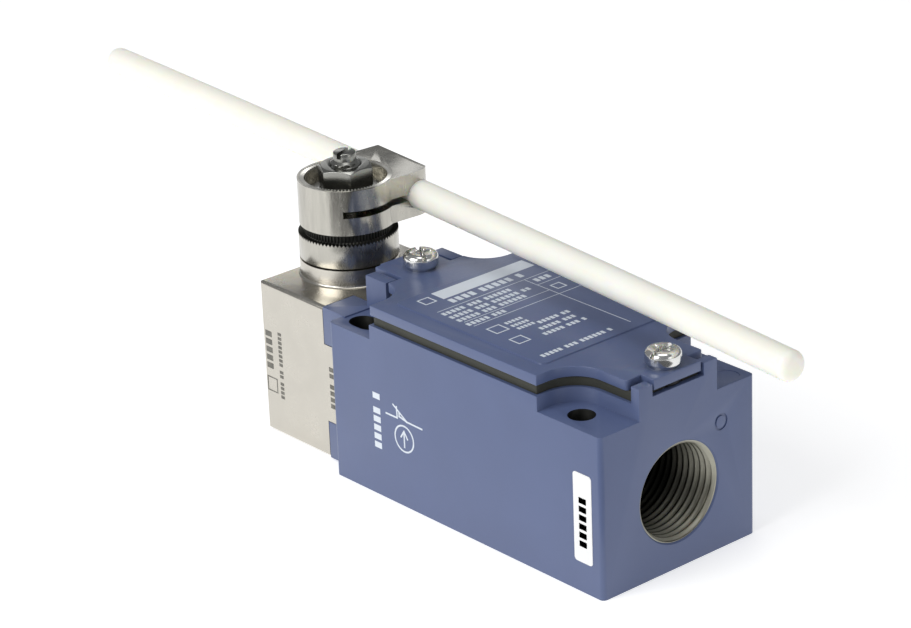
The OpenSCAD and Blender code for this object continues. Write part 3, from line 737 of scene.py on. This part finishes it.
def return_spring(name, node, wire, turns):
    """Spring along Y from the low end of its node's box"""
    low, high = span(node)
    centre = (low + high) / 2
    length = high.y - low.y
    shape = coil((high.x - low.x - wire) / 2, wire, length, turns, moved(0, low.y, centre.z) @ ALONG_Y)
    obj = piece(name, shape, SPRING, "body", [node])
    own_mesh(obj)


def contact_pressure_springs():
    """The two small springs behind the moving contacts"""
    low, high = span("contact_springs")
    centre = (low + high) / 2
    wire, length = 0.4, 2.4
    radius = (high.x - low.x - wire) / 2
    parts = [coil(radius, wire, length, 4, moved(0, y, centre.z) @ ALONG_Y) for y in (low.y, high.y - length)]
    piece("contact_coils", joined(parts), SPRING, "contact_carrier", ["contact_springs"])


# ---- parts that keep their CAD outline, with their edges rounded ----

# node: (body, look, radius of the rounded edges)
PLAIN = {
    "screw_retainers": ("body", RUBBER, 0.15),
    "head_gasket": ("body", RUBBER, 0.2),
    "upper_bushing": ("body", BRONZE, 0.3),
    "lower_bushing": ("body", BRONZE, 0.3),
    "shaft_seal": ("body", RUBBER, 0.3),
    "shaft_clip": ("lever", STEEL, 0.1),
    "cam": ("lever", STEEL, 0.25),
    "plunger": ("plunger", ACETAL, 0.3),
    "plunger_guide": ("body", THERMOSET, 0.2),
    "contact_base": ("body", THERMOSET, 0.25),
    "contact_lid": ("body", GREY_PLASTIC, 0.25),
    "contact_carrier": ("contact_carrier", RED_PLASTIC, 0.15),
    "moving_contacts": ("contact_carrier", COPPER, 0.08),
    "fixed_contacts_closed": ("body", BRASS, 0.08),
    "fixed_contacts_open": ("body", BRASS, 0.08),
    "terminal_clamps": ("body", PLATED, 0.2),
    "earth_clamp": ("body", BRASS, 0.2),
}


def plain_parts():
    for node, (body, look, width) in PLAIN.items():
        shape = round_edges(cad_shape(node), width)
        piece(node + "_rounded", shape, look, body, [node])


# ---- printed and etched marks ----



def on_left_wall(wall_x):
    """Turns a drawing in (y, z), with its height as z, onto a wall that faces -X"""
    return Matrix(((0, 0, -1, wall_x), (1, 0, 0, 0), (0, 1, 0, 0), (0, 0, 0, 1)))


ON_COVER = moved(0, 0, cover_top)
ON_SIDE = on_left_wall(SIDE_X)
ON_HEAD = on_left_wall(head_x)
INK_DEPTH = 0.01
INK_RISE = 0.025


def bar(x0, y0, x1, y1):
    return [(x0, y0), (x1, y0), (x1, y1), (x0, y1)]


def stroke(points, width):
    """Straight strokes through the points"""
    shapes = []
    for (x0, y0), (x1, y1) in zip(points, points[1:]):
        along = Vector((x1 - x0, y1 - y0)).normalized() * width / 2
        side = Vector((-along.y, along.x))
        a, b = Vector((x0, y0)) - along, Vector((x1, y1)) + along
        shapes.append([tuple(p) for p in (a - side, b - side, b + side, a + side)])
    return shapes


def blocks(start, end, line, height, along="x", words=(5, 3, 6, 4)):
    """Row of small blocks in groups, which stands for a line of print"""
    shapes = []
    width, gap = height * 0.6, height * 0.28
    at, word, count = start, 0, 0
    while at + width <= end:
        low, high = (at, line), (at + width, line + height)
        if along == "y":
            low, high = (line, at), (line + height, at + width)
        shapes.append(bar(*low, *high))
        at += width + gap
        count += 1
        if count == words[word % len(words)]:
            at += width
            word += 1
            count = 0
    return shapes


def circle_line(x, y, radius, width, steps=48):
    shapes = []
    for i in range(steps):
        a, b = TAU * i / steps, TAU * (i + 1) / steps
        shapes.append([(x + r * math.cos(t), y + r * math.sin(t))
                       for r, t in ((radius, a), (radius + width, a), (radius + width, b), (radius, b))])
    return shapes


def square_line(x, y, half, width):
    """Outline of a small square"""
    corners = [(x - half, y - half), (x + half, y - half), (x + half, y + half), (x - half, y + half)]
    return stroke(corners + corners[:1], width)


def marks(name, shapes, matrix, look):
    # Strokes that cross have tops at slightly different heights
    parts = [prism(shape, -INK_DEPTH, INK_RISE - 0.002 * (k % 4)) for k, shape in enumerate(shapes)]
    return piece(name, place(joined(parts), matrix), look, "body")


def cover_print():
    """Generic print on the cover: a banner, a ruled table and rows of blocks"""
    line = 0.16
    shapes = [bar(-8.1, 15.7, 15.5, 19.5)]
    shapes += blocks(-8.0, 11.2, 13.0, 1.9, words=(4, 5, 3))
    for x0, x1, y in ((-13.2, 15.6, 11.7), (-12.8, 9.2, 4.4), (-12.8, 15.4, 1.7), (9.1, 15.2, 7.9)):
        shapes.append(bar(x0, y - line / 2, x1, y + line / 2))
    shapes.append(bar(9.1 - line / 2, -18, 9.1 + line / 2, 11.7))
    for x0, x1, y, height in ((-13.3, 5.0, 9.4, 1.3), (-13.3, 7.4, 7.2, 1.3), (-13.3, 5.0, 5.1, 1.3),
                              (-13.3, -3.6, 2.4, 1.3), (10.3, 15.0, 9.1, 1.6), (-7.9, -3.1, -2.2, 1.0),
                              (-7.9, -3.0, -4.0, 1.0), (-7.9, -3.6, -5.7, 1.0), (-3.2, 5.3, -6.4, 1.2),
                              (-5.0, 5.3, -8.8, 1.2), (-6.2, 4.6, -11.2, 1.2), (-13.4, 4.6, -18.4, 1.2)):
        shapes += blocks(x0, x1, y, height)
    for x, y, half in ((-11.0, 17.3, 1.3), (11.8, 4.8, 1.1), (-10.6, -2.6, 1.5), (-11.0, -9.2, 1.4)):
        shapes += square_line(x, y, half, 0.28)
    marks("cover_print", shapes, ON_COVER, INK)


def side_print():
    """Direct-opening arrow in a circle, a contact symbol and a row of blocks"""
    pen = 0.36
    shapes = circle_line(15.35, 14.7, 2.55, pen)
    shapes += stroke([(15.35, 12.95), (15.35, 16.2)], pen)
    shapes += stroke([(16.3, 14.9), (15.35, 16.3), (14.4, 14.9)], pen)
    shapes += stroke([(20.5, 18.6), (17.2, 18.6), (17.3, 20.9)], pen)
    shapes += stroke([(18.3, 21.1), (14.35, 18.6), (9.95, 18.5)], pen)
    shapes += stroke([(16.6, 20.0), (16.6, 19.1), (14.35, 18.6)], pen)
    shapes += blocks(10.2, 23.9, 22.3, 2.1, along="y", words=(5, 1, 3))
    marks("side_print", shapes, ON_SIDE, INK)


def head_etching():
    shapes = blocks(14.4, 24.2, 60.2, 2.0, along="y", words=(6, 2))
    shapes += blocks(8.6, 24.1, 57.1, 1.1, along="y", words=(4, 2, 9))
    shapes += square_line(60.8, 10.9, 1.5, 0.25)
    shapes += blocks(11.6, 21.5, 40.4, 1.6, along="y", words=(4, 3))
    marks("head_etching", shapes, ON_HEAD, ETCH)


def rounded_rectangle(low, high, radius, steps=6):
    points = []
    for quarter, (x, y) in enumerate(((high.x - radius, high.y - radius), (low.x + radius, high.y - radius),
                                      (low.x + radius, low.y + radius), (high.x - radius, low.y + radius))):
        for k in range(steps + 1):
            angle = TAU / 4 * (quarter + k / steps)
            points.append((x + radius * math.cos(angle), y + radius * math.sin(angle)))
    return points


def blank_label():
    """Paper label with a row of generic blocks"""
    low, high = span("side_label")
    outline = rounded_rectangle(Vector((low.y, low.z)), Vector((high.y, high.z)), 0.7)
    sheet = place(prism(outline, -INK_DEPTH, SIDE_X - low.x), ON_SIDE)
    piece("paper_label", sheet, LABEL, "body", ["side_label"])
    shapes = blocks(9.4, 20.9, -35.9, 2.0, along="y", words=(6,))
    film = 0.02
    lift = moved(low.x - SIDE_X + film, 0, 0)
    parts = [prism(shape, 0, film) for shape in shapes]
    piece("label_print", place(joined(parts), lift @ ON_SIDE), DARK_INK, "body")


# ---- the room: floor, light and camera ----


def grey_look(name, grey, roughness=0.5, glow=0.0):
    tree = Tree(name)
    tree.shader.inputs["Base Color"].default_value = (grey, grey, grey, 1)
    tree.shader.inputs["Roughness"].default_value = roughness
    tree.shader.inputs["Emission Color"].default_value = (1, 1, 1, 1)
    tree.shader.inputs["Emission Strength"].default_value = glow
    return tree.material


def flat_sheet(name, corners, z, look):
    """Flat sheet of the studio over corners in metres"""
    mesh = bpy.data.meshes.new(name)
    mesh.from_pydata([(x, y, z) for x, y in corners], [], [tuple(range(len(corners)))])
    mesh.materials.append(look)
    obj = bpy.data.objects.new(name, mesh)
    bpy.context.scene.collection.objects.link(obj)
    return obj


def floor():
    half = 3.0
    corners = bar(-half, -half, half, half)
    flat_sheet("floor", corners, 0, grey_look("pale_floor", 0.85, roughness=0.8, glow=0.5))


def shade():
    """Dark patch of floor under the body, so that the open holes show no lit floor"""
    half_width, near, far, z = 0.018, body_end * MM + 0.002, 0.035, 0.00002
    corners = bar(-half_width, near, half_width, far)
    flat_sheet("shade", corners, z, grey_look("shaded_floor", 0.02))


def card():
    """Dark card on the floor in front of the object, which only the metal's reflections show"""
    left, right = Vector((-0.129, 0.043)), Vector((0.023, -0.109))
    reach = Vector((-0.25, -0.29))
    corners = [left, right, right + reach, left + reach]
    obj = flat_sheet("card", corners, 0.0003, grey_look("dark_card", 0.13, roughness=0.9))
    obj.visible_camera = False
    obj.visible_diffuse = False
    obj.visible_shadow = False


def area_light(name, place_at, aim, size, power):
    data = bpy.data.lights.new(name, "AREA")
    data.shape = "DISK"
    data.size = size
    data.energy = power
    obj = bpy.data.objects.new(name, data)
    obj.location = place_at
    obj.rotation_euler = (Vector(aim) - Vector(place_at)).to_track_quat("-Z", "Y").to_euler()
    bpy.context.scene.collection.objects.link(obj)


# name: (place, aim, diameter in metres, power in watts)
LIGHTS = {
    "key_light": ((-0.75, 0.1, 0.55), (0, 0, 0.03), 0.7, 5.4),
    "top_light": ((0.05, 0.05, 0.9), (0, 0, 0.03), 0.45, 1.4),
    "end_light": ((0.1, -0.85, 0.35), (0, -0.05, 0.03), 0.6, 1.0),
    "back_light": ((0.43, 0.70, 0.24), (0, 0.054, 0.05), 0.27, 0.16),
}


def studio():
    world = bpy.data.worlds.new("studio")
    world.use_nodes = True
    background = world.node_tree.nodes["Background"]
    background.inputs["Color"].default_value = (0.95, 0.97, 1.0, 1)
    background.inputs["Strength"].default_value = 0.27
    bpy.context.scene.world = world
    for name, (place_at, aim, size, power) in LIGHTS.items():
        area_light(name, place_at, aim, size, power)
    bpy.context.scene.view_settings.view_transform = "Standard"


def camera():
    """Camera by its place, its heading and its roll"""
    azimuth, elevation, roll = (math.radians(angle) for angle in (49.652, -23.055, 2.295))
    forward = Vector((math.cos(elevation) * math.cos(azimuth), math.cos(elevation) * math.sin(azimuth),
                      math.sin(elevation)))
    level = forward.cross(Vector((0, 0, 1))).normalized()
    up = level.cross(forward) * math.cos(roll) + level * math.sin(roll)
    right = forward.cross(up)
    data = bpy.data.cameras.new("camera")
    data.sensor_width = 36
    data.lens = 132.49
    data.clip_start = 0.01
    obj = bpy.data.objects.new("camera", data)
    obj.matrix_world = Matrix.Translation((-0.39048, -0.43770, 0.28954)) @ Matrix(
        (right, up, -forward)).transposed().to_4x4()
    bpy.context.scene.collection.objects.link(obj)
    bpy.context.scene.camera = obj


# ---- build ----

housing_casting()
entry_thread()
cover_plate()
soft_gasket()
head_casting()
collar()
clamp_hub()
hex_nut()
shaft_with_stud()
flat_washer()
rod()
screw_set("cover_screws", "body", PLATED, shank_r=1.98, head_r=3.5, head_h=2.6,
          slotted=True, turns=(math.radians(9.5), math.radians(62)), neck=(2.9, 0.7))
screw_set("head_screws", "body", PLATED, shank_r=1.98, head_r=3.4, head_h=2.4,
          along_y=True, turns=(0.3, 1.1, 0.7, 0.1))
screw_set("terminal_screws", "body", PLATED, shank_r=1.73, head_r=3.1, head_h=2.2,
          slotted=True, turns=(0.2, 0.9, 0.5, 1.3))
screw_set("block_screws", "body", PLATED, shank_r=1.48, head_r=2.4, head_h=2.0,
          turns=(0.6, 0.1))
screw_set("earth_screw", "body", BRASS, shank_r=1.98, head_r=3.4, head_h=2.2,
          slotted=True, turns=(0.8,))
return_spring("plunger_coil", "plunger_spring", wire=1.0, turns=6.5)
return_spring("carrier_coil", "carrier_spring", wire=0.6, turns=5)
contact_pressure_springs()
plain_parts()
cover_print()
side_print()
head_etching()
blank_label()
floor()
shade()
card()
studio()
camera()
